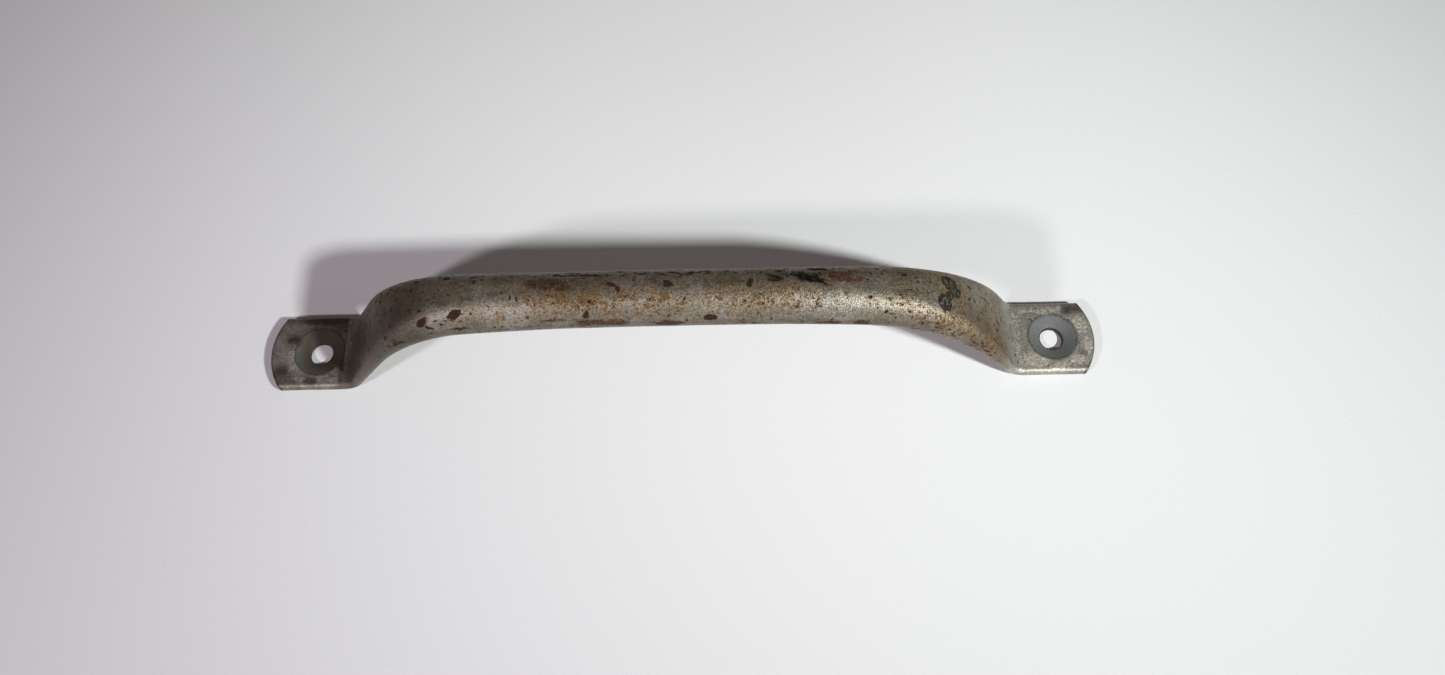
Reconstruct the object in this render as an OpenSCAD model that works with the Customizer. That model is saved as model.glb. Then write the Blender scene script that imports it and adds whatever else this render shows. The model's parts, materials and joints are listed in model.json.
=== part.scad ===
// Bow pull handle, bent from one length of steel tube.
// The tube is round in the middle of the grip. It is flattened more and more through the
// shoulders and the legs, and pressed shut at the feet, which carry one screw hole each.
// Frame: the door's face is z = 0, +Z points away from the door and +X runs along the handle.
// The handle is cut where its form changes, and the pieces meet face to face.

/* [Handle] */
// Length over both toes
overall_l = 202.2; // [190:0.1:230]
// Distance between the two screw holes
hole_spacing = 180; // [176:0.5:182]
// Shift of both screw holes to the right, as they were marked out by hand
hole_shift = 0.8; // [0:0.1:1.2]
// Height of the grip's centre line over the door
grip_h = 29; // [26:0.5:40]
// Radius of the slow arc that the grip is bowed to
grip_arc_r = 1000; // [600:50:2000]

/* [Tube] */
// Outer diameter of the tube
tube_od = 12.7; // [12:0.1:14]
// Wall of the tube, which makes a foot two walls thick
tube_wall = 1.3; // [1.1:0.1:1.8]
// Thickness of the half-flattened tube in the shoulders
shoulder_t = 9.3; // [7:0.1:11]
// Run along the tube, from the foot line, in which the press opens to that thickness
press_run = 44; // [36:1:50]
// Where the shoulders' section begins to grow round
round_start = 22; // [15:1:30]
// Run along the tube in which it grows round
round_run = 51; // [40:1:60]

/* [Bends] */
// Slope of the legs, in degrees from the door
leg_slope = 57; // [45:0.5:65]
// Centre-line radius of the bend between foot and leg
heel_r = 5; // [3:0.5:7]
// Centre-line radius of the left shoulder
left_shoulder_r = 31; // [25:1:40]
// Centre-line radius of the right shoulder, which was bent a little wider
right_shoulder_r = 44; // [25:1:48]

/* [Feet] */
// Length of a foot, from the foot line to the toe
foot_l = 18.1; // [17:0.1:22]
// Width of a foot across the pressed tube
foot_w = 19; // [18:0.1:20]
// Radius that the toe is cropped to
toe_r = 15.6; // [13:0.1:30]
// Diameter of the screw hole
screw_hole_d = 5.5; // [4.5:0.1:6]
// Diameter of the countersink at the top of the foot
sink_d = 12; // [9:0.1:12.5]
// Included angle of the countersink
sink_angle = 130; // [120:5:140]

/* [Hidden] */

LEFT = -1;
RIGHT = 1;
section_sides = 32;
heel_rings = 7;
leg_rings = 4;
shoulder_rings = 9;
grip_rings = 15;
// Where the pressed walls have parted enough to leave a cavity
cavity_start = 8;
overshoot = 0.5;
hole_fn = 96;
edge_fn = 64;

worn_steel = [0.55, 0.53, 0.49];
brown_steel = [0.47, 0.43, 0.39];
bare_steel = [0.42, 0.41, 0.39];

foot_t = 2 * tube_wall;
foot_line = overall_l / 2 - foot_l;
arc_centre_z = grip_h - grip_arc_r;
heel_l = heel_r * leg_slope * PI / 180;
// The pressed section is a stadium. Its outline keeps the tube's length, apart from the
// small stretch that brings the foot to its width.
stretch = (foot_w - foot_t) / (PI * (tube_od - foot_t) / 2);
sink_depth = (sink_d - screw_hole_d) / 2 / tan(sink_angle / 2);

function ease(u) = let (c = min(1, max(0, u))) c * c * (3 - 2 * c);
function section_t(s) = foot_t + (shoulder_t - foot_t) * ease(s / press_run)
    + (tube_od - shoulder_t) * ease((s - round_start) / round_run);
function section_w(t) = t + stretch * PI * (tube_od - t) / 2;

// Centre line of one half, [x, z], where s is the length along it from the foot line.
// The shoulder's arc touches the leg's line and the grip's arc, which fixes the leg's length.
function shoulder_r(side) = side == LEFT ? left_shoulder_r : right_shoulder_r;
function leg_foot() = [foot_line - heel_r * sin(leg_slope), foot_t / 2 + heel_r * (1 - cos(leg_slope))];
function leg_way() = [-cos(leg_slope), sin(leg_slope)];
function leg_side() = [-sin(leg_slope), -cos(leg_slope)];
function leg_l(side) =
    let (r = shoulder_r(side),
         q = leg_foot() + r * leg_side() - [0, arc_centre_z],
         along = q * leg_way())
    sqrt(along * along - q * q + pow(grip_arc_r - r, 2)) - along;
function shoulder_centre(side) = leg_foot() + leg_l(side) * leg_way() + shoulder_r(side) * leg_side();
function grip_angle(side) = asin(shoulder_centre(side)[0] / (grip_arc_r - shoulder_r(side)));
function shoulder_start(side) = heel_l + leg_l(side);
function shoulder_end(side) =
    shoulder_start(side) + shoulder_r(side) * (leg_slope - grip_angle(side)) * PI / 180;

// A place is [x, z, slope, s] on the centre line of the handle's right half; left is mirrored.
function heel_place(s) = let (a = s / heel_r * 180 / PI)
    [foot_line - heel_r * sin(a), foot_t / 2 + heel_r * (1 - cos(a)), a, s];
function leg_place(s) = let (p = leg_foot() + (s - heel_l) * leg_way()) [p[0], p[1], leg_slope, s];
function shoulder_place(s, side) =
    let (c = shoulder_centre(side), r = shoulder_r(side),
         a = leg_slope - (s - shoulder_start(side)) / r * 180 / PI)
    [c[0] + r * sin(a), c[1] + r * cos(a), a, s];
function grip_place(a, side) =
    [grip_arc_r * sin(a), arc_centre_z + grip_arc_r * cos(a), a,
     shoulder_end(side) + grip_arc_r * (grip_angle(side) - a) * PI / 180];
function mirrored(p) = [-p[0], p[1], -p[2], p[3]];

// One ring of the tube's section, inset by the wall for the cavity
function ring(p, inset) =
    let (t = section_t(p[3]),
         round_r = t / 2 - inset,
         flat = (section_w(t) - t) / 2)
    [for (i = [0 : section_sides - 1])
        let (a = 360 * (i + 0.5) / section_sides,
             y = round_r * cos(a) + flat * sign(cos(a)),
             h = round_r * sin(a))
        [p[0] + h * sin(p[2]), y, p[1] + h * cos(p[2])]];

// Triangles over rings base/n and on, then across from ring a to ring b, and over one ring
function skin(base, rings, out) = [
    for (k = [0 : rings - 2], i = [0 : section_sides - 1])
        let (n = section_sides, j = (i + 1) % n, p = base + k * n, q = p + n)
        each out ? [[p + i, q + j, p + j], [p + i, q + i, q + j]]
                 : [[p + i, p + j, q + j], [p + i, q + j, q + i]]];
function rim(a, b) = [
    for (i = [0 : section_sides - 1]) let (j = (i + 1) % section_sides)
        each [[a + i, a + j, b + j], [a + i, b + j, b + i]]];
function cap(base, facing) = [
    for (i = [1 : section_sides - 2])
        facing ? [base, base + i, base + i + 1] : [base, base + i + 1, base + i]];

// A length of hollow tube over a row of places. A blind tube is solid past its cavity's end.
module tube(outer, inner, blind = false) {
    rings = concat([for (p = outer) each ring(p, 0)], [for (p = inner) each ring(p, tube_wall)]);
    outer_end = (len(outer) - 1) * section_sides;
    inner_start = outer_end + section_sides;
    inner_end = inner_start + (len(inner) - 1) * section_sides;
    ends = blind ? concat(cap(outer_end, false), cap(inner_end, true)) : rim(inner_end, outer_end);
    polyhedron(rings, concat(skin(0, len(outer), true), skin(inner_start, len(inner), false),
                             rim(0, inner_start), ends));
}

function span(from, to, rings) = [for (i = [0 : rings - 1]) from + (to - from) * i / (rings - 1)];

module mirrored_to(side) {
    if (side == LEFT) mirror([1, 0, 0]) children();
    else children();
}

module grip_tube() {
    left = [for (a = span(grip_angle(LEFT), 0, grip_rings)) mirrored(grip_place(a, LEFT))];
    right = [for (a = span(0, grip_angle(RIGHT), grip_rings)) grip_place(a, RIGHT)];
    places = concat(left, [for (i = [1 : grip_rings - 1]) right[i]]);
    color(worn_steel) tube(places, places);
}

module shoulder(side) {
    run = span(shoulder_end(side), shoulder_start(side), shoulder_rings);
    places = [for (s = run) shoulder_place(s, side)];
    color(worn_steel) mirrored_to(side) tube(places, places);
}

module leg(side) {
    straight = [for (s = span(shoulder_start(side), heel_l, leg_rings)) leg_place(s)];
    bend = [for (s = span(heel_l, 0, heel_rings)) heel_place(s)];
    parted = [for (s = span(shoulder_start(side), cavity_start, leg_rings)) leg_place(s)];
    color(brown_steel) mirrored_to(side)
        tube(concat(straight, [for (i = [1 : heel_rings - 1]) bend[i]]), parted, blind = true);
}

// The pressed end: two walls thick, with full-round long edges and a toe cropped to an arc
module foot_blank() {
    intersection() {
        translate([foot_line, 0, foot_t / 2]) union() {
            translate([0, -(foot_w - foot_t) / 2, -foot_t / 2])
                cube([foot_l, foot_w - foot_t, foot_t]);
            for (edge = [-1, 1])
                translate([0, edge * (foot_w - foot_t) / 2, 0])
                    rotate([0, 90, 0])
                        cylinder(d = foot_t, h = foot_l, $fn = edge_fn);
        }
        translate([foot_line + foot_l - toe_r, 0, -overshoot])
            cylinder(r = toe_r, h = foot_t + 2 * overshoot, $fn = hole_fn);
    }
}

module screw_hole() {
    translate([0, 0, -overshoot])
        cylinder(d = screw_hole_d, h = foot_t + 2 * overshoot, $fn = hole_fn);
    translate([0, 0, foot_t - sink_depth])
        cylinder(d1 = screw_hole_d, d2 = sink_d, h = sink_depth, $fn = hole_fn);
    translate([0, 0, foot_t])
        cylinder(d = sink_d, h = overshoot, $fn = hole_fn);
}

module foot(side) {
    color(bare_steel) difference() {
        mirrored_to(side) foot_blank();
        translate([side * hole_spacing / 2 + hole_shift, 0, 0]) screw_hole();
    }
}

module left_shoulder() { shoulder(LEFT); }
module right_shoulder() { shoulder(RIGHT); }
module left_leg() { leg(LEFT); }
module right_leg() { leg(RIGHT); }
module left_foot() { foot(LEFT); }
module right_foot() { foot(RIGHT); }

grip_tube();
left_shoulder();
right_shoulder();
left_leg();
right_leg();
left_foot();
right_foot();
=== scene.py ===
"""An old bow pull handle, bent from one length of steel tube, lying on a sheet of white paper.

Seven detailed pieces replace the seven CAD nodes. Their form repeats the design's own formulas,
in millimetres: a centre line of arcs and straights, and a section that opens from the pressed
feet to the round grip. The wear is a list of marks, which shape the metal and its colour, and a
list of broad stains, which only tint the paint. Some of the stains are painted shade and painted
light, and the paper is painted darker away from a bright place behind the handle.
"""
import json
import math
from collections import namedtuple

import bpy
import numpy as np
from mathutils import Matrix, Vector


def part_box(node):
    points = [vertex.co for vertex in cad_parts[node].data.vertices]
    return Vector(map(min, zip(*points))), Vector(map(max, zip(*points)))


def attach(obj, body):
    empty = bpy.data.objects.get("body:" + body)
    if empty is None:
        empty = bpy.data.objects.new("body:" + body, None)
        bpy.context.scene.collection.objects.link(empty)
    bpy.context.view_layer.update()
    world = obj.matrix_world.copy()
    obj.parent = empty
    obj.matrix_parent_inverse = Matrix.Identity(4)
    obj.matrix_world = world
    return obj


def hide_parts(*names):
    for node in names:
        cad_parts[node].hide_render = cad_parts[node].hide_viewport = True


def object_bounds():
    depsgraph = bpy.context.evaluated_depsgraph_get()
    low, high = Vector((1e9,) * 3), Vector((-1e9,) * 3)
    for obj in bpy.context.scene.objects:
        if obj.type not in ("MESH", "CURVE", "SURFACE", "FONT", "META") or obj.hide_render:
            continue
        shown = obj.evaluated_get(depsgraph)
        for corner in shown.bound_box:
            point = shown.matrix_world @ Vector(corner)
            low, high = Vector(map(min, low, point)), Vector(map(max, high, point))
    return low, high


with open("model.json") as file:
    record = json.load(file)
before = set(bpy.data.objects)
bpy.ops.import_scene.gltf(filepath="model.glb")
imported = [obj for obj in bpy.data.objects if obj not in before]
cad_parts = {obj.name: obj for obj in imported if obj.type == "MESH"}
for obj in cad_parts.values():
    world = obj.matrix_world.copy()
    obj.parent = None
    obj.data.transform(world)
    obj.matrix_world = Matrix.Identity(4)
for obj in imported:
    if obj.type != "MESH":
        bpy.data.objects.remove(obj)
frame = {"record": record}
cad_low, cad_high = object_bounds()

MM = 0.001
LEFT, RIGHT = -1, 1

# ---------------------------------------------------------------- sizes, in millimetres
foot_low, foot_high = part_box("right_foot")
FOOT_T = foot_high.z / MM
FOOT_LINE = foot_low.x / MM
TOE = foot_high.x / MM
FOOT_W = (foot_high.y - foot_low.y) / MM
MOUNTS = {mount["name"]: mount for mount in frame["record"]["mounts"]}
HOLE_R = MOUNTS["left_screw_hole"]["dims"]["r_mm"]
HOLE_LAND = MOUNTS["left_screw_hole"]["dims"]["length_mm"]
HOLE_X = {LEFT: MOUNTS["left_screw_hole"]["pos_m"][0] / MM,
          RIGHT: MOUNTS["right_screw_hole"]["pos_m"][0] / MM}

# What the frame doesn't carry repeats the design's own values.
SINK_R = 6.0
TOE_R = 15.6
TUBE_D = 12.7
WALL = FOOT_T / 2
SHOULDER_T = 9.3
PRESS_RUN = 44
ROUND_START, ROUND_RUN = 22, 51
GRIP_H = 29
GRIP_ARC = 1000
SLOPE = math.radians(57)
HEEL_R = 5
SHOULDER_R = {LEFT: 31, RIGHT: 44}
CAVITY_START = 8

# Small breaks of the foot's edges: at the toe, and at the bottom of the screw hole
TOE_EDGE = 0.45
HOLE_BEVEL = 0.1


# ---------------------------------------------------------------- the form
def ease(u):
    u = np.clip(u, 0, 1)
    return u * u * (3 - 2 * u)


def section_t(s):
    """Thickness of the pressed tube at a distance s from the foot line."""
    return (FOOT_T + (SHOULDER_T - FOOT_T) * ease(s / PRESS_RUN)
            + (TUBE_D - SHOULDER_T) * ease((s - ROUND_START) / ROUND_RUN))


def section_w(t):
    stretch = (FOOT_W - FOOT_T) / (math.pi * (TUBE_D - FOOT_T) / 2)
    return t + stretch * math.pi * (TUBE_D - t) / 2


class Half:
    """The centre line of one half of the handle. s is the length along it from the foot line."""

    def __init__(self, side):
        self.radius = SHOULDER_R[side]
        way = np.array([-math.cos(SLOPE), math.sin(SLOPE)])
        inward = np.array([-math.sin(SLOPE), -math.cos(SLOPE)])
        self.way = way
        self.foot = np.array([FOOT_LINE - HEEL_R * math.sin(SLOPE),
                              FOOT_T / 2 + HEEL_R * (1 - math.cos(SLOPE))])
        from_arc = self.foot + self.radius * inward - np.array([0, GRIP_H - GRIP_ARC])
        reach = from_arc @ way
        leg = math.sqrt(reach ** 2 - from_arc @ from_arc + (GRIP_ARC - self.radius) ** 2) - reach
        self.centre = self.foot + leg * way + self.radius * inward
        grip_angle = math.asin(self.centre[0] / (GRIP_ARC - self.radius))
        self.leg_start = HEEL_R * SLOPE
        self.shoulder_start = self.leg_start + leg
        self.grip_start = self.shoulder_start + self.radius * (SLOPE - grip_angle)
        self.length = self.grip_start + GRIP_ARC * grip_angle

    def place(self, s):
        """x, z and slope of the centre line at s."""
        parts = [s >= self.grip_start, s >= self.shoulder_start, s >= self.leg_start, s >= 0]
        slope = np.select(parts, [(self.length - s) / GRIP_ARC,
                                  SLOPE - (s - self.shoulder_start) / self.radius,
                                  np.full_like(s, SLOPE), s / HEEL_R])
        on_leg = s - self.leg_start
        x = np.select(parts, [GRIP_ARC * np.sin(slope),
                              self.centre[0] + self.radius * np.sin(slope),
                              self.foot[0] + on_leg * self.way[0],
                              FOOT_LINE - HEEL_R * np.sin(slope)], FOOT_LINE - s)
        z = np.select(parts, [GRIP_H - GRIP_ARC + GRIP_ARC * np.cos(slope),
                              self.centre[1] + self.radius * np.cos(slope),
                              self.foot[1] + on_leg * self.way[1],
                              FOOT_T / 2 + HEEL_R * (1 - np.cos(slope))], FOOT_T / 2)
        return x, z, slope


HALVES = {side: Half(side) for side in (LEFT, RIGHT)}


def centre_line(along):
    """x, z, slope and s for distances along the handle, measured from its crown, + to the right."""
    out = np.zeros((4, len(along)))
    for side, half in HALVES.items():
        mine = (along < 0) if side == LEFT else (along >= 0)
        s = half.length - np.abs(along[mine])
        x, z, slope = half.place(s)
        out[:, mine] = side * x, z, side * slope, s
    return out


def section(s, share, inset=0.0):
    """Points of the pressed section: y, height over the centre line, normal and distance around.

    share goes once around the section from its lowest point, and around is 0 at the top centre
    and grows towards the front.
    """
    thick = section_t(s)[:, None]
    flat = (section_w(thick) - thick) / 2
    bend_r = thick / 2
    quarter = flat + bend_r * math.pi / 2
    around = (share[None, :] - 0.5) * 4 * quarter
    front = np.sign(around)
    from_top = np.abs(around)
    lower = from_top > quarter
    to_flat = np.where(lower, 2 * quarter - from_top, from_top)
    angle = np.clip((to_flat - flat) / bend_r, 0, None)
    side_n = np.sin(angle)
    up_n = np.where(lower, -np.cos(angle), np.cos(angle))
    y = -front * (np.minimum(to_flat, flat) + (bend_r - inset) * side_n)
    height = (bend_r - inset) * up_n
    return y, height, -front * side_n, up_n, around


def skin(along, share, inset=0.0):
    """Points and normals of the tube's skin, and the distance around it, on a grid."""
    x, z, slope, s = centre_line(along)
    y, height, y_n, up_n, around = section(s, share, inset)
    sine, cosine = np.sin(slope)[:, None], np.cos(slope)[:, None]
    points = np.stack([x[:, None] + height * sine, y, z[:, None] + height * cosine], -1)
    normals = np.stack([up_n * sine, y_n, up_n * cosine], -1)
    return points, normals, around


# ---------------------------------------------------------------- roughness of the metal
rng = np.random.default_rng(11)
SHUFFLE = rng.permutation(256)
GRADIENTS = rng.normal(size=(256, 3))
GRADIENTS /= np.linalg.norm(GRADIENTS, axis=1)[:, None]
NOISE_GAIN = 1.6


def noise(points, size, shift=0.0):
    """Smooth noise from about -1 to 1, which changes over a distance of about size."""
    at = points / size + shift
    cell = np.floor(at).astype(int)
    local = at - cell
    fade = local ** 3 * (local * (local * 6 - 15) + 10)
    total = np.zeros(points.shape[:-1])
    for corner in np.ndindex(2, 2, 2):
        i, j, k = np.moveaxis((cell + corner) & 255, -1, 0)
        pick = SHUFFLE[(SHUFFLE[(SHUFFLE[i] + j) & 255] + k) & 255]
        weight = np.prod(np.where(corner, fade, 1 - fade), -1)
        total += weight * np.sum(GRADIENTS[pick] * (local - corner), -1)
    return total * NOISE_GAIN


def unevenness(points):
    """Height of the old metal over its true form, never above it."""
    return (0.030 * noise(points, 8.0) + 0.012 * noise(points, 2.4, 5.3)
            + 0.006 * noise(points, 0.8, 9.1) - 0.045)


# ---------------------------------------------------------------- marks
# A mark is a ragged oval on the surface. length and width are full sizes, turn is in degrees
# and rise is how far its surface stands out, or lies below the paint when it is negative.
Mark = namedtuple("Mark", "kind along around length width turn rise")
PATCHES = ["chip", "rust", "orange", "scuff", "blotch", "flake", "bare"]
TINTS = ["ochre", "grime_and_shade", "clean_and_lit"]
# What a patch's field says far from every mark of its kind
OUTSIDE = -1.0
# A mark's field is worked out up to this far from its outline.
MARGIN = 1.5
# The finest raggedness of the outlines, and the run over which a mark's surface steps up or down
FRAY = 0.12
STEP_RUN = 0.25

TUBE_MARKS = [
    # dark brown chips
    Mark("chip", -55.9, 5.7, 3.0, 1.8, -28, -0.09),
    Mark("chip", -54.7, 7.2, 1.8, 0.9, 40, -0.06),
    Mark("chip", -48.9, 4.9, 3.2, 1.9, -38, -0.10),
    Mark("chip", -20.4, 6.4, 1.3, 2.5, 8, -0.09),
    Mark("chip", -14.6, -0.5, 2.6, 1.0, 20, -0.06),
    Mark("chip", -13.3, 0.5, 1.1, 1.8, 0, -0.06),
    Mark("chip", -2.4, -0.5, 2.6, 1.7, 12, -0.09),
    Mark("chip", 6.8, 8.0, 3.2, 1.9, 0, -0.10),
    Mark("chip", 15.3, -0.4, 1.5, 2.1, 15, -0.08),
    Mark("chip", 20.6, -1.1, 3.0, 1.0, 10, -0.05),
    Mark("chip", -63.9, 9.0, 3.6, 0.8, 0, -0.05),
    Mark("chip", -36.7, 1.7, 0.5, 1.1, 0, -0.05),
    Mark("chip", -35.3, 2.0, 0.5, 1.3, 0, -0.05),
    Mark("chip", 30.1, -4.7, 4.0, 1.2, 5, -0.05),
    Mark("chip", 41.6, 3.0, 0.9, 1.0, 0, -0.05),
    Mark("chip", 1.1, 3.0, 0.8, 0.8, 0, -0.04),
    # rust
    Mark("rust", -29.0, -1.2, 9.6, 3.6, 4, 0.03),
    Mark("rust", -24.8, -0.3, 7.0, 2.6, 8, 0.02),
    Mark("rust", -17.0, 8.9, 14.0, 2.6, 0, -0.03),
    Mark("rust", -2.4, 9.9, 7.0, 2.2, 0, -0.03),
    Mark("rust", 33.3, 10.4, 7.0, 2.0, 0, -0.03),
    Mark("rust", 40.2, 10.0, 6.0, 2.0, 0, -0.03),
    Mark("rust", -26.5, 7.7, 10.0, 0.9, 0, -0.03),
    Mark("rust", -20.0, -3.6, 7.0, 0.9, 2, -0.03),
    Mark("rust", -6.5, -3.8, 8.0, 0.8, -2, -0.03),
    Mark("orange", 35.6, -2.0, 7.0, 3.6, 8, 0.04),
    Mark("orange", 39.3, -1.2, 3.6, 2.2, 0, 0.03),
    Mark("orange", 31.0, -4.3, 5.0, 1.4, 0, 0.03),
    # black scuffs
    Mark("scuff", 28.4, -1.8, 7.4, 2.8, 14, -0.03),
    Mark("scuff", 30.4, -0.6, 5.5, 0.7, 22, -0.03),
    Mark("scuff", 30.6, -1.6, 6.5, 0.6, 20, -0.03),
    Mark("scuff", 24.8, -2.3, 4.5, 0.8, 10, -0.02),
    Mark("scuff", 20.8, -1.8, 4.0, 1.0, 25, -0.02),
    # the crackled black blotch on the right shoulder
    Mark("blotch", 59.8, -3.0, 4.4, 3.6, 30, 0.02),
    Mark("blotch", 61.2, -1.2, 3.2, 2.8, 0, 0.02),
    Mark("blotch", 59.4, 0.2, 3.0, 2.2, -40, 0.02),
    Mark("blotch", 57.9, 2.2, 3.6, 4.2, 10, 0.02),
    # smudges, in colour only
    Mark("blotch", -48.7, 8.5, 4.6, 0.7, 0, 0.0),
    Mark("blotch", -50.9, -4.4, 2.0, 1.2, 0, 0.0),
]

# Marks on the feet: along is x and around is -y.
FOOT_MARKS = [
    Mark("flake", -95.6, 0.6, 2.2, 5.0, 10, 0.03),
    Mark("flake", -94.6, 3.8, 3.6, 1.8, -20, 0.03),
    Mark("flake", -84.4, 5.4, 3.4, 2.4, 30, 0.03),
    Mark("flake", -84.0, 7.4, 5.0, 1.4, 0, 0.02),
    Mark("flake", -90.5, 7.0, 7.0, 1.2, -6, 0.03),
    Mark("flake", -91.0, -6.9, 7.0, 0.9, 6, 0.02),
    Mark("flake", -83.6, -4.0, 2.4, 3.4, 0, 0.02),
    Mark("chip", -96.3, -3.2, 1.0, 1.2, 30, -0.04),
    Mark("chip", -83.2, -5.2, 0.8, 0.7, 0, -0.04),
    Mark("chip", -90.6, 7.9, 0.8, 0.5, 0, -0.04),
    Mark("flake", 84.6, -7.0, 3.6, 1.4, -14, 0.03),
    Mark("flake", 88.6, -6.6, 5.0, 1.5, 16, 0.03),
    Mark("flake", 92.8, -7.2, 4.0, 1.2, 0, 0.03),
    Mark("flake", 98.0, -3.2, 3.4, 4.6, -30, 0.03),
    Mark("flake", 91.8, 7.6, 5.6, 2.2, -10, 0.03),
    Mark("flake", 96.0, 6.0, 4.0, 2.6, -30, 0.03),
    Mark("flake", 85.8, 6.0, 6.4, 3.6, 16, 0.03),
    Mark("flake", 99.2, 2.4, 2.0, 5.0, 0, 0.02),
    Mark("rust", 86.0, -4.6, 1.8, 1.2, 30, -0.05),
    Mark("rust", 95.2, -4.4, 2.0, 1.0, -40, -0.05),
    Mark("rust", 97.0, 1.4, 1.4, 2.6, 0, -0.05),
]

# Broad stains, whose edges fade: ochre speckle, dark dirt and cleaner paint. Some of the dark stains
# are painted shade and some of the light ones painted light, as marked.
STAINS = [
    Mark("ochre", -4, 2.5, 62, 9, 0, 0.9),
    Mark("ochre", -22, 1.5, 22, 5, 0, 0.5),
    Mark("ochre", 34, 1.0, 34, 10, 0, 0.55),
    Mark("ochre", 68, 4.0, 38, 24, 0, 0.92),
    Mark("ochre", -42, 3.0, 26, 12, 0, 0.35),
    Mark("ochre", 0, 20, 120, 14, 0, 0.6),
    Mark("ochre", 4, 7.0, 110, 7, 0, 0.45),
    Mark("ochre", 0, -5.0, 130, 9, 0, 0.60),
    # Lighter paint over the right leg's end: cleaner paint, and painted light on the end nearest the
    # brighter lamp.
    Mark("clean_and_lit", 96, 0, 22, 60, 0, 0.7),
    # A lighter band a little in front of the tube's top, where the lamps' highlight lies: paint worn
    # lighter by hands, and a painted highlight.
    Mark("clean_and_lit", 0, 4.8, 110, 4.5, 0, 0.16),
    Mark("clean_and_lit", -40, 5.0, 20, 4.5, 0, 0.12),
    Mark("clean_and_lit", 36, 4.6, 34, 6.0, 0, 0.20),
    Mark("ochre", -66, -2.0, 34, 20, 0, 0.38),
    Mark("ochre", -77, 9.5, 20, 5, 0, 0.15),
    # Darker paint over the left leg: dirt, and painted shade on the side turned away from the
    # brighter lamp.
    Mark("grime_and_shade", -74, -1.0, 40, 34, 0, 1.1),
    Mark("grime_and_shade", 72, 5.0, 20, 12, 0, 0.42),
    # A darker band along the lower front of the tube.
    Mark("grime_and_shade", 0, 10.0, 120, 3.4, 0, 0.55),
    Mark("grime_and_shade", 12, -0.7, 6, 1.6, 0, 0.6),
    # A darker band along the tube's underside.
    Mark("grime_and_shade", 0, 20, 190, 12, 0, 0.4),
]
FOOT_STAINS = [
    Mark("grime_and_shade", -92, 0, 34, 40, 0, 0.26),
    Mark("grime_and_shade", -80, 2, 10, 22, 0, 0.45),
    Mark("grime_and_shade", -87.0, -1.5, 12, 12, 0, 0.42),
    Mark("grime_and_shade", -87.5, -8.2, 16, 2.2, 0, 0.9),
    Mark("grime_and_shade", -96.0, -3.2, 3.4, 2.4, 0, 0.75),
    Mark("grime_and_shade", -98.0, 5.0, 3.6, 3.4, 0, 0.75),
    Mark("grime_and_shade", -90.6, 7.6, 3.0, 1.8, 0, 0.8),
    # A dark smudge at the left heel's front corner: dirt, and the painted shadow of a small dent
    # that the mesh doesn't have.
    Mark("grime_and_shade", -82.6, 6.6, 2.0, 4.6, 0, 0.9),
    Mark("clean_and_lit", -94.8, 1.5, 8, 9, 0, 0.22),
    Mark("clean_and_lit", -85.5, 7.0, 6, 3, 0, 0.22),
    Mark("grime_and_shade", 97, 9.0, 12, 4, 0, 0.5),
    Mark("grime_and_shade", 97.0, -7.6, 6, 3.4, 0, 0.9),
    Mark("grime_and_shade", 97.4, 4.4, 3.0, 2.4, 0, 0.6),
    Mark("grime_and_shade", 94.0, -6.6, 4.0, 2.0, 0, 0.5),
    Mark("ochre", 92, 0, 24, 30, 0, 0.25),
    # Lighter paint over the right foot: cleaner paint, and painted light on the foot nearest the
    # brighter lamp.
    Mark("clean_and_lit", 92, 0, 30, 60, 0, 0.8),
]


SMALLEST_SPECK, LARGEST_SPECK = 0.25, 0.9
SHORTEST_DASH = 0.7
DASH_DEPTH = 0.02


def scattered(count, seed, along_span, around_span, kind, rise):
    """Small specks of one kind, spread over part of the tube. Most are near the smallest size."""
    draw = np.random.default_rng(seed)
    specks = []
    for _ in range(count):
        length = SMALLEST_SPECK + (LARGEST_SPECK - SMALLEST_SPECK) * draw.random() ** 4
        specks.append(Mark(kind, draw.uniform(*along_span), draw.uniform(*around_span), length,
                           length * draw.uniform(0.5, 1.0), draw.uniform(-90, 90), rise))
    return specks


def dashes(count, seed, along_span, around_span, kind, longest):
    """Short scratches that run along the tube."""
    draw = np.random.default_rng(seed)
    scratches = []
    for _ in range(count):
        length = SHORTEST_DASH + (longest - SHORTEST_DASH) * draw.random() ** 2
        scratches.append(Mark(kind, draw.uniform(*along_span), draw.uniform(*around_span), length,
                              draw.uniform(0.35, 0.75), draw.uniform(-14, 14), -DASH_DEPTH))
    return scratches


TUBE_SPECKS = (
    scattered(150, 3, (-45, 45), (-9, 10), "chip", -0.03)
    + scattered(90, 4, (45, 92), (-9, 10), "chip", -0.03)
    + scattered(150, 5, (-92, -45), (-9, 10), "chip", -0.03)
    + scattered(160, 6, (-92, 92), (10, 19), "chip", -0.04)
    + scattered(100, 7, (-92, 92), (-19, -9), "chip", -0.04)
    + scattered(240, 8, (-60, 92), (-6, 10), "rust", -0.02)
    + dashes(50, 9, (-60, 56), (-5.2, -3.0), "chip", 3.0)
    + dashes(60, 10, (-60, 56), (-5.0, -1.0), "rust", 3.0)
    + dashes(50, 11, (-80, -48), (-6, 10), "chip", 1.3)
    + dashes(190, 12, (44, 82), (-4, 13), "rust", 1.6)
    + dashes(16, 13, (44, 80), (-4, 13), "chip", 1.1)
    + dashes(60, 14, (-46, 50), (8.5, 11), "rust", 2.4)
)


def oval(mark, along, around):
    """About how far each point is inside a mark's outline, in millimetres."""
    turn = math.radians(mark.turn)
    over, across = along - mark.along, around - mark.around
    u = (over * math.cos(turn) + across * math.sin(turn)) / (mark.length / 2)
    v = (across * math.cos(turn) - over * math.sin(turn)) / (mark.width / 2)
    return (1 - np.hypot(u, v)) * min(mark.length, mark.width) / 2


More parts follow.
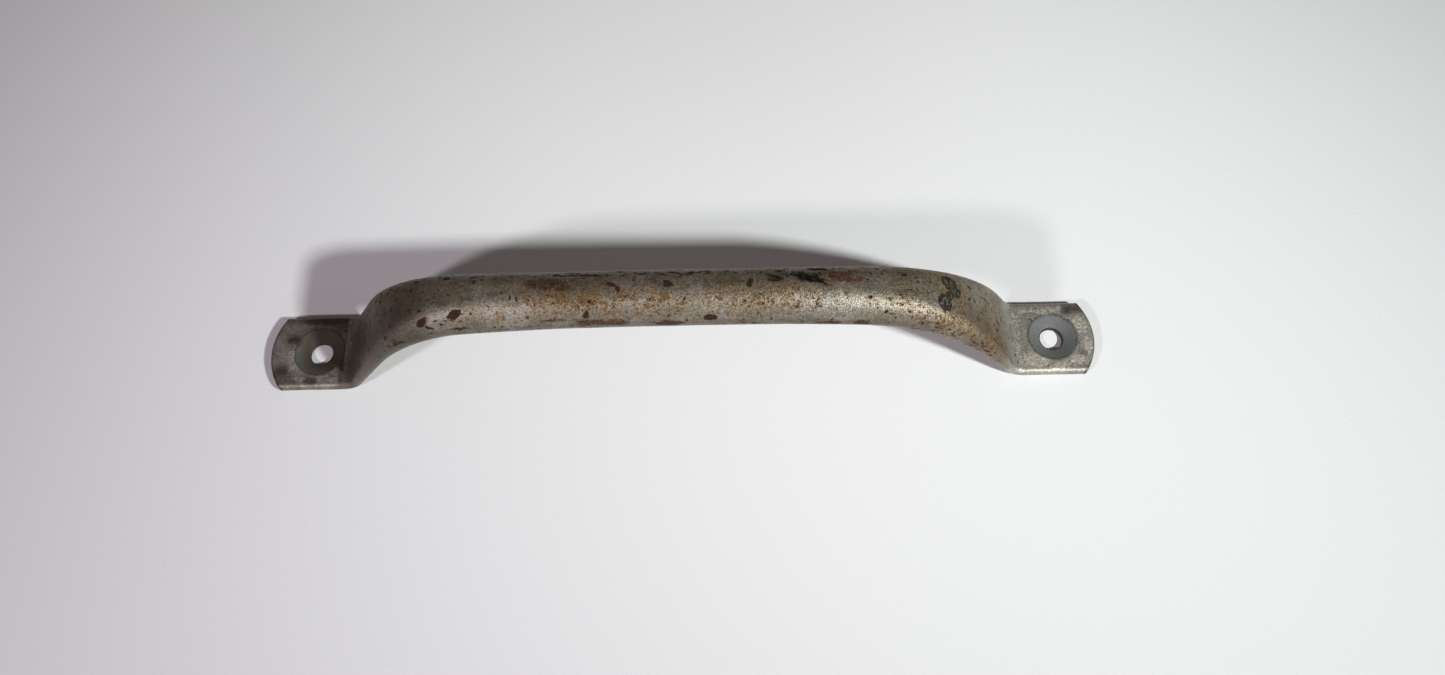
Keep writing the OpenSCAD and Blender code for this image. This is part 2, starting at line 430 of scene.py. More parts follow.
def wear(points, along, around, marks, ragged=0.3):
    """The fields of every kind of mark, in millimetres inside its outline, and their rise.

    ragged is how far the outlines wander.
    """
    fields = {kind: np.full(along.shape, OUTSIDE) for kind in PATCHES}
    rise = np.zeros(along.shape)
    along = along + ragged * noise(points, 1.1, 3.7) + FRAY * noise(points, 0.45, 6.1)
    around = around + ragged * noise(points, 1.1, 13.7) + FRAY * noise(points, 0.45, 16.1)
    for mark in marks:
        reach = max(mark.length, mark.width) / 2 + MARGIN
        near = (np.abs(along - mark.along) < reach) & (np.abs(around - mark.around) < reach)
        inside = oval(mark, along[near], around[near])
        fields[mark.kind][near] = np.maximum(fields[mark.kind][near], inside)
        rise[near] += mark.rise * ease(inside / STEP_RUN + 0.3)
    return fields, rise


def stain(fields, along, around, stains):
    """Add the fields of the tints: strong within a stain's oval, and fading around it."""
    for kind in TINTS:
        fields[kind] = np.zeros(along.shape)
    for mark in stains:
        far = ((along - mark.along) / (mark.length / 2)) ** 2
        wide = ((around - mark.around) / (mark.width / 2)) ** 2
        fields[mark.kind] += mark.rise * np.exp(-far ** 2 / 1.2 - wide)


# ---------------------------------------------------------------- meshes
def grid_normals(points):
    """Normals of a grid whose columns close on themselves."""
    down = np.gradient(points, axis=0)
    across = np.roll(points, -1, 1) - np.roll(points, 1, 1)
    normals = np.cross(across, down)
    return normals / np.linalg.norm(normals, axis=-1)[..., None]


def band(first, second, columns):
    """Faces between two rings, given by their first vertices."""
    i = np.arange(columns)
    j = (i + 1) % columns
    return np.stack([first + i, first + j, second + j, second + i], -1)


# Edges of a foot sharper than this are shaded as edges.
SHARP_ANGLE = math.radians(38)


def piece(name, node, points, faces, smooth, fields, normals, material):
    """A closed mesh that stands for one CAD node, kept within the CAD's box."""
    mesh = bpy.data.meshes.new(name)
    low, high = np.array(cad_low), np.array(cad_high)
    mesh.from_pydata(np.clip(points * MM, low, high).tolist(), [], faces)
    mesh.polygons.foreach_set("use_smooth", smooth)
    for kind, values in fields.items():
        attribute = mesh.attributes.new(kind, "FLOAT", "POINT")
        attribute.data.foreach_set("value", values.astype(np.float32))
    mesh.materials.append(material)
    mesh.update()
    if normals is not None:
        corners = np.empty(len(mesh.loops), int)
        mesh.loops.foreach_get("vertex_index", corners)
        per_corner = normals[corners]
        starts = np.empty(len(mesh.polygons), int)
        mesh.polygons.foreach_get("loop_start", starts)
        totals = np.empty(len(mesh.polygons), int)
        mesh.polygons.foreach_get("loop_total", totals)
        per_corner[~np.repeat(smooth, totals)] = 0
        mesh.normals_split_custom_set(per_corner)
    else:
        mesh.set_sharp_from_angle(angle=SHARP_ANGLE)
    obj = bpy.data.objects.new(name, mesh)
    bpy.context.scene.collection.objects.link(obj)
    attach(obj, "root")
    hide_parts(node)
    return obj


# Points around the tube, the distance between its rings, and the rings past each end, which
# only serve the normals there
COLUMNS = 192
STEP = 0.21
EXTRA = 3
# The bore is smooth, and needs fewer rings.
BORE_STEP = 2.2
LEAST_BORE_RINGS = 4


def seams():
    """Where the tube's pieces meet, from the left foot line to the right one."""
    left, right = HALVES[LEFT], HALVES[RIGHT]
    return [-left.length, left.shoulder_start - left.length, left.grip_start - left.length,
            right.length - right.grip_start, right.length - right.shoulder_start, right.length]


def tube_grid():
    """The whole tube as one displaced grid, so that its five pieces meet without a step."""
    cuts = seams()
    runs = [cuts[0] - STEP * np.arange(EXTRA, 0, -1)]
    first_rings = [EXTRA]
    for start, end in zip(cuts, cuts[1:]):
        rings = round((end - start) / STEP)
        runs.append(np.linspace(start, end, rings, endpoint=False))
        first_rings.append(first_rings[-1] + rings)
    runs.append(cuts[-1] + STEP * np.arange(EXTRA))
    along = np.concatenate(runs)
    share = np.arange(COLUMNS) / COLUMNS
    points, normals, around = skin(along, share)
    along_grid = np.repeat(along[:, None], COLUMNS, 1)
    fields, rise = wear(points, along_grid, around, TUBE_MARKS + TUBE_SPECKS)
    stain(fields, along_grid, around, STAINS)
    points = points + normals * (unevenness(points) + rise)[..., None]
    return along, first_rings, points, fields, grid_normals(points)


def tube_piece(name, grid, index, blind_side, material):
    """One length of the hollow tube: outer skin, bore, and end faces.

    blind_side is the side of a leg's pressed end, where the bore stops short of the end.
    """
    along, first_rings, points, fields, normals = grid
    first, last = first_rings[index], first_rings[index + 1]
    outer = points[first:last + 1]
    rings = len(outer)
    start, end = along[first], along[last]
    if blind_side == LEFT:
        start = -HALVES[LEFT].length + CAVITY_START
    if blind_side == RIGHT:
        end = HALVES[RIGHT].length - CAVITY_START
    bore_rings = max(LEAST_BORE_RINGS, round((end - start) / BORE_STEP))
    share = np.arange(COLUMNS) / COLUMNS
    bore, _, _ = skin(np.linspace(start, end, bore_rings), share, WALL)

    verts = [outer.reshape(-1, 3), bore.reshape(-1, 3)]
    bore_first = rings * COLUMNS
    bore_last = bore_first + (bore_rings - 1) * COLUMNS
    outer_last = (rings - 1) * COLUMNS
    outer_faces = [band(r * COLUMNS, (r + 1) * COLUMNS, COLUMNS) for r in range(rings - 1)]
    bore_faces = [band(bore_first + (r + 1) * COLUMNS, bore_first + r * COLUMNS, COLUMNS)
                  for r in range(bore_rings - 1)]
    ends = []
    caps = []
    ring = list(range(COLUMNS))
    if blind_side == LEFT:
        caps += [ring[::-1], [bore_first + i for i in ring]]
    else:
        ends.append(band(bore_first, 0, COLUMNS))
    if blind_side == RIGHT:
        caps += [[outer_last + i for i in ring], [bore_last + i for i in ring[::-1]]]
    else:
        ends.append(band(outer_last, bore_last, COLUMNS))
    outer_faces = np.concatenate(outer_faces)
    bore_faces = np.concatenate(bore_faces)
    flat_faces = np.concatenate(ends).tolist()
    faces = outer_faces.tolist() + bore_faces.tolist() + flat_faces + caps
    smooth = np.array([True] * (len(outer_faces) + len(bore_faces))
                      + [False] * (len(flat_faces) + len(caps)))
    verts = np.concatenate(verts)
    inner = len(verts) - bore_first
    values = {kind: np.concatenate([field[first:last + 1].ravel(), np.zeros(inner)])
              for kind, field in fields.items()}
    shown = np.concatenate([normals[first:last + 1].reshape(-1, 3), np.zeros((inner, 3))])
    return piece(f"worn_{name}", name, verts, faces, smooth, values, shown, material)


# Points along the toe or the foot line, and along each side
END_POINTS = 108
SIDE_POINTS = 72
# Rings of a foot's skin: in the hole, the countersink, the top, the edge's rounding and its
# middle, and the underside. The last two counts include rings shared with their neighbours.
HOLE_RINGS, SINK_RINGS, TOP_RINGS, ROUNDING_RINGS, EDGE_RINGS, BASE_RINGS = 6, 18, 40, 9, 9, 14
# The sides stop this far short of the full width, where the rounded edge would close to a line.
EDGE_TRIM = 0.009
# The rounding begins at least this far inside the outline, and this far from the foot line.
LEAST_ROUNDING = 0.05
LINE_ROUNDING = 0.1
# The paint's rim around a countersink is this ragged.
RIM_FRAY = 0.25
# Painted shade at the toe's edge and in the hole, where the wall gets little light: its strength,
# and the run over which it fades
TOE_PAINTED_SHADE, TOE_PAINTED_SHADE_RUN = 1.2, 0.4
HOLE_PAINTED_SHADE, HOLE_PAINTED_SHADE_RUN = 2.0, 0.3
# The countersink is more even than the rest, up to this far inside its rim.
SINK_UNEVENNESS, SINK_MARGIN = 0.4, 0.3
# Marks fade out down the edge of a foot, over this height, and the underside has none.
TOP_FADE = 0.4
UNDERSIDE_Z = 0.02


def foot_outline(side):
    """A foot's outline in plan, as seen from its screw hole, in order around it.

    x grows towards the toe. Gives the way to each point of the outline, its distance, and the
    distance at which the rounding of the edge begins.
    """
    hole = abs(HOLE_X[side])
    edge_r = FOOT_T / 2
    half_w = FOOT_W / 2 - EDGE_TRIM
    toe_centre = TOE - TOE_R
    corner = math.asin(half_w / TOE_R)
    corner_x = toe_centre + TOE_R * math.cos(corner)
    toe = [(toe_centre + TOE_R * math.cos(a), TOE_R * math.sin(a))
           for a in np.linspace(-corner, corner, END_POINTS, endpoint=False)]
    back = [(x, half_w) for x in np.linspace(corner_x, FOOT_LINE, SIDE_POINTS, endpoint=False)]
    line = [(FOOT_LINE, y) for y in np.linspace(half_w, -half_w, END_POINTS, endpoint=False)]
    front = [(x, -half_w) for x in np.linspace(FOOT_LINE, corner_x, SIDE_POINTS, endpoint=False)]
    outline = np.array(toe + back + line + front)
    outline[:, 0] -= hole
    reach = np.hypot(*outline.T)
    way = outline / reach[:, None]
    # the rounding begins at the nearest of these limits along the same ray
    with np.errstate(divide="ignore"):
        to_side = (FOOT_W / 2 - edge_r) / np.abs(way[:, 1])
        to_line = np.where(way[:, 0] < 0, (FOOT_LINE + LINE_ROUNDING - hole) / way[:, 0], np.inf)
    inner_r = TOE_R - TOE_EDGE
    offset = hole - toe_centre
    along_ray = way[:, 0] * offset
    to_toe = -along_ray + np.sqrt(along_ray ** 2 - offset ** 2 + inner_r ** 2)
    limits = [to_side, to_line, to_toe, reach - LEAST_ROUNDING]
    return way, reach, np.min(limits, axis=0)


def half_thickness(side, x, y):
    """Half the thickness of a foot at a place in plan, with its rounded edges."""
    edge_r = FOOT_T / 2
    over_side = np.clip(np.abs(y) - (FOOT_W / 2 - edge_r), 0, edge_r)
    from_side = np.sqrt(edge_r ** 2 - over_side ** 2)
    from_toe = TOE_R - np.hypot(x - (TOE - TOE_R), y)
    over_toe = np.clip(TOE_EDGE - from_toe, 0, TOE_EDGE)
    at_toe = edge_r - TOE_EDGE + np.sqrt(TOE_EDGE ** 2 - over_toe ** 2)
    return np.minimum(from_side, at_toe)


def foot_piece(name, side, material):
    """A pressed foot: one closed skin, in rings around its screw hole."""
    hole = abs(HOLE_X[side])
    way, reach, inner = foot_outline(side)
    columns = len(way)
    mid = FOOT_T / 2
    one = np.ones(columns)
    rings = []  # the radius and height of each ring
    for z in np.linspace(HOLE_BEVEL, HOLE_LAND, HOLE_RINGS, endpoint=False):
        rings.append((HOLE_R * one, z * one))
    for u in np.linspace(0, 1, SINK_RINGS, endpoint=False):
        rings.append(((HOLE_R + (SINK_R - HOLE_R) * u) * one,
                      (HOLE_LAND + (FOOT_T - HOLE_LAND) * u) * one))
    for u in np.linspace(0, 1, TOP_RINGS, endpoint=False):
        rings.append((SINK_R + (inner - SINK_R) * u, FOOT_T * one))
    edge = [math.sin(a) for a in np.linspace(0, math.pi / 2, ROUNDING_RINGS)]

    def edge_ring(u, up):
        """A ring over (up = 1) or under (-1) the edge, at u from the rounding's start to its end."""
        radius = inner + (reach - inner) * u
        half = half_thickness(side, hole + radius * way[:, 0], radius * way[:, 1])
        return radius, mid + up * half

    rings += [edge_ring(u, 1) for u in edge]
    _, top = edge_ring(1, 1)
    for u in np.linspace(0, 1, EDGE_RINGS)[1:-1]:
        rings.append((reach, top + (2 * mid - 2 * top) * u))
    rings += [edge_ring(u, -1) for u in edge[::-1]]
    for u in np.linspace(0, 1, BASE_RINGS)[1:]:
        rings.append((inner + (HOLE_R + HOLE_BEVEL - inner) * u, 0 * one))
    radius = np.array([ring[0] for ring in rings])
    points = np.stack([hole + radius * way[:, 0], radius * way[:, 1],
                       np.array([ring[1] for ring in rings])], -1)
    if side == LEFT:
        points[..., 0] *= -1
        points = points[:, ::-1]
    row_ways = np.roll(points, -1, 0) - np.roll(points, 1, 0)
    column_ways = np.roll(points, -1, 1) - np.roll(points, 1, 1)
    normals = np.cross(row_ways, column_ways)
    normals /= np.maximum(np.linalg.norm(normals, axis=-1), 1e-9)[..., None]
    flat_ring = HOLE_RINGS + SINK_RINGS + 6
    normals *= -1 if normals[flat_ring, 0, 2] < 0 else 1
    # the points on the foot line stay in the plane that the foot shares with its leg
    at_line = np.abs(np.abs(points[..., 0]) - FOOT_LINE) < 1e-6
    normals[at_line, 0] = 0
    normals[at_line] /= np.maximum(np.linalg.norm(normals[at_line], axis=-1), 1e-9)[:, None]
    top_side = ease((points[..., 2] - mid) / TOP_FADE)
    along, around = points[..., 0], -points[..., 1]
    fields, rise = wear(points, along, around, FOOT_MARKS, ragged=0.8)
    stain(fields, along, around, FOOT_STAINS)
    from_toe = TOE_R - np.hypot(np.abs(along) - (TOE - TOE_R), around)
    # painted shade: a dark band along the toe's edge
    fields["grime_and_shade"] += TOE_PAINTED_SHADE * np.exp(-(np.clip(from_toe, 0, None) / TOE_PAINTED_SHADE_RUN) ** 2)
    for kind in PATCHES:
        fields[kind] *= np.where(fields[kind] > 0, top_side, 1)
    from_hole = np.hypot(points[..., 0] - HOLE_X[side], points[..., 1])
    fields["bare"] = SINK_R - from_hole + RIM_FRAY * noise(points, 1.6, 2.2)
    # painted shade down the screw hole's wall, where little light reaches
    fields["grime_and_shade"] += HOLE_PAINTED_SHADE * (1 - ease((from_hole - HOLE_R) / HOLE_PAINTED_SHADE_RUN))
    in_sink = from_hole < SINK_R - SINK_MARGIN
    lift = unevenness(points) * np.where(in_sink, SINK_UNEVENNESS, 1) + rise * top_side
    lift[points[..., 2] < UNDERSIDE_Z] = 0.0
    points = points + normals * lift[..., None]
    count = len(rings)
    faces = np.concatenate([band((r + 1) % count * columns, r * columns, columns)
                            for r in range(count)])
    values = {kind: field.ravel() for kind, field in fields.items()}
    smooth = np.ones(len(faces), bool)
    return piece(f"worn_{name}", name, points.reshape(-1, 3), faces.tolist(), smooth,
                 values, None, material)


# ---------------------------------------------------------------- materials
class Nodes:
    """Short words for a node material. Each call adds its nodes and gives their output."""

    def __init__(self, name):
        self.material = bpy.data.materials.new(name)
        self.material.use_nodes = True
        self.tree = self.material.node_tree
        self.tree.nodes.clear()
        self.place = self.add("ShaderNodeTexCoord", {}).outputs["Object"]
        self.mm = self.add("ShaderNodeMapping", {0: self.place, 3: (1000, 1000, 1000)}).outputs[0]

    def add(self, kind, inputs, **settings):
        """Add one node and give it. Its inputs are values, or sockets to link."""
        node = self.tree.nodes.new(kind)
        for key, value in settings.items():
            setattr(node, key, value)
        for key, value in inputs.items():
            if isinstance(value, bpy.types.NodeSocket):
                self.tree.links.new(value, node.inputs[key])
            elif isinstance(value, tuple) and len(value) == 3 and node.inputs[key].type == "RGBA":
                node.inputs[key].default_value = (*value, 1)
            else:
                node.inputs[key].default_value = value
        return node

    def noise(self, size, detail=2.0, rough=0.5, stretch=(1, 1, 1), turn=0.0, shift=0.0):
        """Noise from 0 to 1. stretch draws it out, and turn swings it round the z axis."""
        at = self.add("ShaderNodeMapping", {
            0: self.mm, 1: (shift, shift, shift), 2: (0, 0, math.radians(turn)), 3: stretch},
            vector_type="TEXTURE").outputs[0]
        return self.add("ShaderNodeTexNoise", {"Vector": at, "Scale": 1 / size, "Detail": detail,
                                               "Roughness": rough}).outputs["Fac"]

    def spots(self, size, density, shift=0.0):
        """Small ragged spots, set out in cells of about size. density is the share of cells hit."""
        warp = self.add("ShaderNodeTexNoise", {"Vector": self.mm, "Scale": 2 / size,
                                               "Detail": 1.0}).outputs["Color"]
        bent = self.add("ShaderNodeVectorMath", {0: warp, 3: 0.6 * size}, operation="SCALE")
        at = self.add("ShaderNodeVectorMath", {0: self.mm, 1: bent.outputs[0]}, operation="ADD")
        at = self.add("ShaderNodeVectorMath", {0: at.outputs[0], 1: (shift, shift, shift)},
                      operation="ADD").outputs[0]
        cell = self.add("ShaderNodeTexVoronoi", {"Vector": at, "Scale": 1 / size})
        draw = self.add("ShaderNodeSeparateColor", {0: cell.outputs["Color"]}).outputs[0]
        reach = self.times(self.plus(density, self.times(draw, -1.0)), 0.8)
        return self.ramp(self.plus(reach, self.times(cell.outputs["Distance"], -1.0)), -0.07, 0.07)

    def field(self, name):
        """A mark's or a stain's field, as stored in the mesh."""
        return self.add("ShaderNodeAttribute", {}, attribute_name=name).outputs["Fac"]

    def maths(self, operation, a, b=0.0):
        return self.add("ShaderNodeMath", {0: a, 1: b}, operation=operation).outputs[0]

    def plus(self, a, b):
        return self.maths("ADD", a, b)

    def times(self, a, b):
        return self.maths("MULTIPLY", a, b)

    def ramp(self, value, low, high, start=0.0, end=1.0):
        """start to end, smoothly, as value goes from low to high."""
        return self.add("ShaderNodeMapRange", {0: value, 1: low, 2: high, 3: start, 4: end},
                        interpolation_type="SMOOTHSTEP").outputs[0]

    def mix(self, share, a, b, blend="MIX"):
        """A colour from a to b."""
        return self.add("ShaderNodeMix", {0: share, 6: a, 7: b}, data_type="RGBA",
                        blend_type=blend).outputs[2]

    def blend(self, share, a, b):
        """A number from a to b."""
        return self.add("ShaderNodeMix", {0: share, 2: a, 3: b}).outputs[0]


# Colours of the paint, of what stains it, and of what shows where it is gone
PAINT = (0.325, 0.312, 0.278)
PAINT_DULL = (0.165, 0.140, 0.103)
OCHRE = (0.198, 0.117, 0.036)
OCHRE_DARK = (0.075, 0.036, 0.014)
FLECK = (0.50, 0.48, 0.44)
BROWN = (0.024, 0.012, 0.009)
CHIP = (0.048, 0.020, 0.013)
RUST = (0.072, 0.021, 0.007)
ORANGE = (0.122, 0.036, 0.014)
BLACK = (0.006, 0.006, 0.007)
BLOTCH = (0.009, 0.008, 0.007)
# Lighter, cleaner paint, also used as a painted highlight along the tube and as painted light on the
# right end.
CLEAN_AND_LIT = (0.50, 0.485, 0.43)
FLAKE_GAIN = (1.85, 1.75, 1.66)
STEEL = (0.160, 0.170, 0.170)
# Dark dirt, also used as painted shade on the left leg, the toes' edges, the screw holes and a dent.
GRIME_AND_SHADE = (0.057, 0.041, 0.028)
# The grain darkens and lightens the paint by these shares, and stands this high, in millimetres.
GRAIN_DARK, GRAIN_LIGHT = 0.46, 0.42
FINE_RELIEF, SMALL_RELIEF = 0.085, 0.100
CHIP_RELIEF, SCUFF_RELIEF = -0.03, -0.01


def worn_paint(name, grit):
    """Old silver paint on steel. The marks' fields say where it is gone or stained.

    grit is the strength of the paint's fine grain.
    """
    n = Nodes(name)
    # the noises that everything below is made ragged with, from fine grain to broad patches
    fine = n.noise(0.22, 2.0, 0.6)
    small = n.noise(0.55, 2.0, 0.6, shift=7.0)
    patchy = n.noise(2.6, 3.0, 0.6)
    broad = n.noise(9.0, 2.0, 0.5, shift=3.0)

    # where each kind of mark shows, with a ragged or a torn outline
    edge = n.plus(n.times(n.plus(fine, -0.5), 0.5), n.times(n.plus(small, -0.5), 0.8))
    torn = n.plus(edge, n.times(n.maths("MINIMUM", n.plus(patchy, -0.52), 0.0), 4.5))

    def inside(kind, soft=0.10, outline=edge):
        return n.ramp(n.plus(n.field(kind), outline), -soft, soft)

    chip, flake, bare = inside("chip"), inside("flake", 0.12), inside("bare", 0.08)
    rust, orange = inside("rust", 0.25, torn), inside("orange", 0.25, torn)
    rust = n.times(rust, n.ramp(small, 0.36, 0.50, 0.68, 1.0))
    blotch = inside("blotch", 0.15)
    streaks = n.noise(0.5, 2.0, 0.6, stretch=(4.5, 0.75, 2.0), turn=-24)
    scuff = n.times(inside("scuff", 0.25), n.ramp(streaks, 0.38, 0.48))

    # the paint: dull and bright patches, lighter cleaner places, which in places are a painted
    # highlight and painted light, and grain
    tone = n.ramp(n.plus(n.times(patchy, 0.6), n.times(broad, 0.4)), 0.40, 0.60)
    colour = n.mix(tone, PAINT_DULL, PAINT)
    clean_and_lit = n.times(n.field("clean_and_lit"), n.ramp(patchy, 0.2, 0.6, 0.6, 1.0))
    colour = n.mix(clean_and_lit, colour, CLEAN_AND_LIT)
    grain = n.ramp(n.plus(n.times(fine, 0.6), n.times(small, 0.4)), 0.36, 0.64,
                   1 - GRAIN_DARK * grit, 1 + GRAIN_LIGHT * grit)
    colour = n.mix(1.0, colour, n.add("ShaderNodeCombineColor", {0: grain, 1: grain, 2: grain})
                   .outputs[0], "MULTIPLY")

    # what lies on the paint: dirt, which in places is painted shade, an ochre haze, bright flecks,
    # and ochre and rusty spots
    ochre_field = n.times(n.field("ochre"), n.ramp(patchy, 0.36, 0.64, 0.55, 1.45))
    grime_and_shade = n.ramp(n.plus(n.times(n.field("grime_and_shade"), 0.9), n.plus(patchy, -0.5)), 0.0, 1.0)
    colour = n.mix(n.times(grime_and_shade, 0.85), colour, GRIME_AND_SHADE)
    haze = n.ramp(n.plus(n.times(patchy, 0.6), n.times(ochre_field, 0.28)), 0.38, 0.64)
    colour = n.mix(n.times(haze, 0.50), colour, OCHRE)
    flecks = n.spots(0.55, 0.22, shift=50.0)
    colour = n.mix(n.times(flecks, 0.35), colour, FLECK)
    ochre = n.maths("MAXIMUM", n.spots(0.75, n.times(ochre_field, 0.60)),
                    n.spots(0.42, n.plus(n.times(ochre_field, 0.60), 0.14), shift=20.0))
    colour = n.mix(n.times(ochre, 0.85), colour, n.mix(n.ramp(fine, 0.36, 0.56), OCHRE, OCHRE_DARK))
    specks = n.spots(0.6, n.plus(n.times(ochre_field, 0.30), 0.15), shift=80.0)
    colour = n.mix(n.times(specks, 0.9), colour, n.mix(n.ramp(small, 0.40, 0.56), RUST, BROWN))

    # the marks
    dark = n.ramp(n.plus(n.times(small, 0.5), n.times(patchy, 0.5)), 0.44, 0.56)
    colour = n.mix(n.times(rust, 0.9), colour, n.mix(dark, RUST, BROWN))
    colour = n.mix(n.times(orange, 0.9), colour, n.mix(n.ramp(small, 0.42, 0.54), ORANGE, BROWN))
    scratches = n.noise(0.4, 2.0, 0.6, stretch=(4.0, 0.55, 1), turn=28, shift=5.0)
    flake = n.times(flake, n.ramp(scratches, 0.44, 0.56, 0.15, 1.0))
    colour = n.mix(flake, colour, n.mix(1.0, colour, FLAKE_GAIN, "MULTIPLY"))
    crackle = n.ramp(n.noise(0.6, 2.0, 0.7, shift=21.0), 0.40, 0.50, 0.42, 1.0)
    crackle = n.maths("MAXIMUM", crackle, n.ramp(n.field("blotch"), 0.30, 0.75, 1.0, 0.0))
    colour = n.mix(n.times(n.times(blotch, crackle), 0.92), colour, BLOTCH)
    colour = n.mix(n.times(scuff, 0.95), colour, BLACK)
    colour = n.mix(chip, colour, n.mix(n.ramp(small, 0.36, 0.60), CHIP, BROWN))

    # bare steel in the countersinks, inside a dirty rim. The steel darkens with the dirt field,
    # which is dirt on the feet and painted shade down the screw hole's wall
    steel = n.mix(n.ramp(n.noise(1.2, 3.0, 0.6, shift=31.0), 0.45, 0.8), STEEL, PAINT_DULL)
    steel = n.mix(n.ramp(n.field("grime_and_shade"), 0.10, 0.50, 0.0, 0.9), steel, GRIME_AND_SHADE)
    colour = n.mix(bare, colour, steel)
    from_rim = n.maths("ABSOLUTE", n.plus(n.field("bare"), n.times(edge, 2.0)))
    colour = n.mix(n.ramp(from_rim, 0.05, 0.35, 0.75, 0.0), colour, GRIME_AND_SHADE)

    # marks and spots are duller and less metallic than the paint
    dull = n.maths("MAXIMUM", n.maths("MAXIMUM", chip, rust), n.maths("MAXIMUM", orange, blotch))
    dull = n.maths("MAXIMUM", dull, n.maths("MAXIMUM", specks, n.times(ochre, 0.6)))
    dull = n.maths("MAXIMUM", dull, n.times(bare, 0.65))
    metallic = n.blend(dull, 0.70, 0.0)
    rough = n.plus(n.blend(dull, 0.46, 0.90), n.times(n.plus(small, -0.5), 0.4))
    rough = n.plus(rough, n.times(flecks, -0.16))

    # the relief of the grain and the marks
    height = n.plus(n.times(fine, FINE_RELIEF * grit), n.times(small, SMALL_RELIEF * grit))
    height = n.plus(height, n.times(chip, CHIP_RELIEF))
    height = n.plus(height, n.times(scuff, SCUFF_RELIEF))
    bump = n.add("ShaderNodeBump", {"Strength": 1.0, "Distance": MM, "Height": height})
    shader = n.add("ShaderNodeBsdfPrincipled", {
        "Base Color": colour, "Metallic": metallic, "Roughness": rough,
        "Specular IOR Level": 0.1, "Normal": bump.outputs[0]})
    out = n.add("ShaderNodeOutputMaterial", {"Surface": shader.outputs[0]})
    out.is_active_output = True
    return n.material


PAPER_DARK, PAPER_LIGHT = (0.87, 0.87, 0.875), (0.91, 0.91, 0.915)
PAPER_PAINTED_SHADE = (0.46, 0.46, 0.465)
# Painted light and shade on the paper: it is painted brightest behind the handle, and painted darker
# over this range of distances, in mm, like the falloff of the lamps' light.
PAINTED_LIGHT_CENTRE = (25, 75, 0)
PAINTED_FALLOFF = (40, 310)


def paper():
    """White paper with a faint grain, and painted shade: it darkens away from a painted bright
    place.
    """
    n = Nodes("paper")
    grain = n.noise(0.9, 3.0, 0.6)
    colour = n.mix(grain, PAPER_DARK, PAPER_LIGHT)
    # painted shade: the paper's colour darkens with distance from the painted bright place
    away = n.add("ShaderNodeVectorMath", {0: n.mm, 1: PAINTED_LIGHT_CENTRE}, operation="DISTANCE")
    shade = n.ramp(away.outputs["Value"], *PAINTED_FALLOFF)
    colour = n.mix(shade, colour, PAPER_PAINTED_SHADE)
    bump = n.add("ShaderNodeBump", {"Strength": 0.2, "Distance": 0.0002, "Height": grain})
    shader = n.add("ShaderNodeBsdfPrincipled", {
        "Base Color": colour, "Roughness": 0.85, "Normal": bump.outputs[0]})
    n.add("ShaderNodeOutputMaterial", {"Surface": shader.outputs[0]})
    return n.material


# ---------------------------------------------------------------- the object
tube_paint = worn_paint("worn_silver_paint", grit=1.0)
foot_paint = worn_paint("worn_foot_paint", grit=0.6)
grid = tube_grid()
# The tube's pieces in order from the left foot line, with the side of a leg's pressed end
TUBE_PIECES = [("left_leg", LEFT), ("left_shoulder", None), ("grip_tube", None),
               ("right_shoulder", None), ("right_leg", RIGHT)]
for index, (name, blind_side) in enumerate(TUBE_PIECES):
    tube_piece(name, grid, index, blind_side, tube_paint)
foot_piece("left_foot", LEFT, foot_paint)
foot_piece("right_foot", RIGHT, foot_paint)


# ---------------------------------------------------------------- floor, light and camera
# Here sizes are in metres, as Blender takes them. The floor lies a hair under the feet.
FLOOR_HALF = 1.5
FLOOR_Z = -0.00002


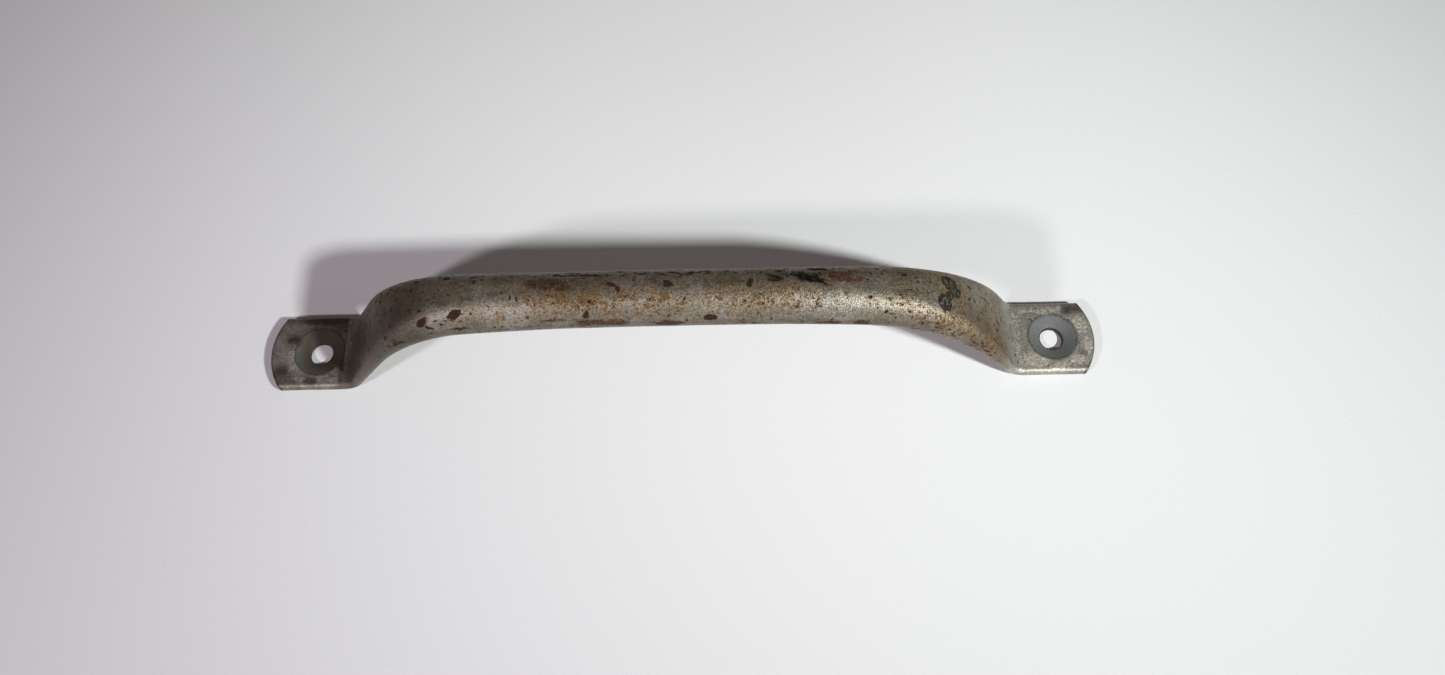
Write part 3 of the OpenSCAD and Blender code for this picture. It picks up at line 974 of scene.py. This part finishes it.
def floor():
    mesh = bpy.data.meshes.new("paper_floor")
    corners = [(-FLOOR_HALF, -FLOOR_HALF), (FLOOR_HALF, -FLOOR_HALF),
               (FLOOR_HALF, FLOOR_HALF), (-FLOOR_HALF, FLOOR_HALF)]
    mesh.from_pydata([(x, y, FLOOR_Z) for x, y in corners], [], [(0, 1, 2, 3)])
    mesh.materials.append(paper())
    obj = bpy.data.objects.new("paper_floor", mesh)
    bpy.context.scene.collection.objects.link(obj)


def light(name, shape, place, watts):
    """An area light that faces the handle. Gives its data, for its size and colour."""
    data = bpy.data.lights.new(name, "AREA")
    data.shape = shape
    data.energy = watts
    obj = bpy.data.objects.new(name, data)
    obj.location = place
    obj.rotation_euler = (-obj.location).to_track_quat("-Z", "Y").to_euler()
    bpy.context.scene.collection.objects.link(obj)
    return data


def lamp(name, place, across, watts, colour):
    """A small round lamp, which throws one of the two shadows."""
    data = light(name, "DISK", place, watts)
    data.size = across
    data.color = colour


def window():
    """A wide, low, dim light in front, which the tube's near side mirrors."""
    data = light("window", "RECTANGLE", place=(0.1, -1.3, 0.32), watts=1.6)
    data.size = 1.6
    data.size_y = 0.25


floor()
window()
lamp("lamp_right", place=(0.455, -0.331, 0.454), across=0.063, watts=5.40,
     colour=(0.95, 1.0, 0.98))
lamp("lamp_left", place=(-0.314, -0.295, 0.325), across=0.051, watts=1.03,
     colour=(1.0, 0.90, 1.0))

ROOM_COLOUR = (0.088, 0.073, 0.072, 1)
scene = bpy.context.scene
world = bpy.data.worlds.new("dim_room")
world.use_nodes = True
background = world.node_tree.nodes["Background"]
background.inputs["Color"].default_value = ROOM_COLOUR
background.inputs["Strength"].default_value = 1.0
scene.world = world
scene.view_settings.view_transform = "Standard"

# The camera stands in front of the handle and looks down at it, almost level from side to side.
# Its angles are in radians.
CAMERA_PLACE = (0.00747, -0.10527, 0.24743)
CAMERA_TILT, CAMERA_LEAN, CAMERA_TURN = 0.4114, -0.0084, -0.0238
CAMERA_LENS = 27.03
camera_data = bpy.data.cameras.new("camera")
camera_data.lens = CAMERA_LENS
camera_data.clip_start = 0.01
camera = bpy.data.objects.new("camera", camera_data)
camera.matrix_world = (Matrix.Translation(CAMERA_PLACE)
                       @ Matrix.Rotation(CAMERA_LEAN, 4, "Y")
                       @ Matrix.Rotation(CAMERA_TILT, 4, "X")
                       @ Matrix.Rotation(CAMERA_TURN, 4, "Z"))
scene.collection.objects.link(camera)
scene.camera = camera
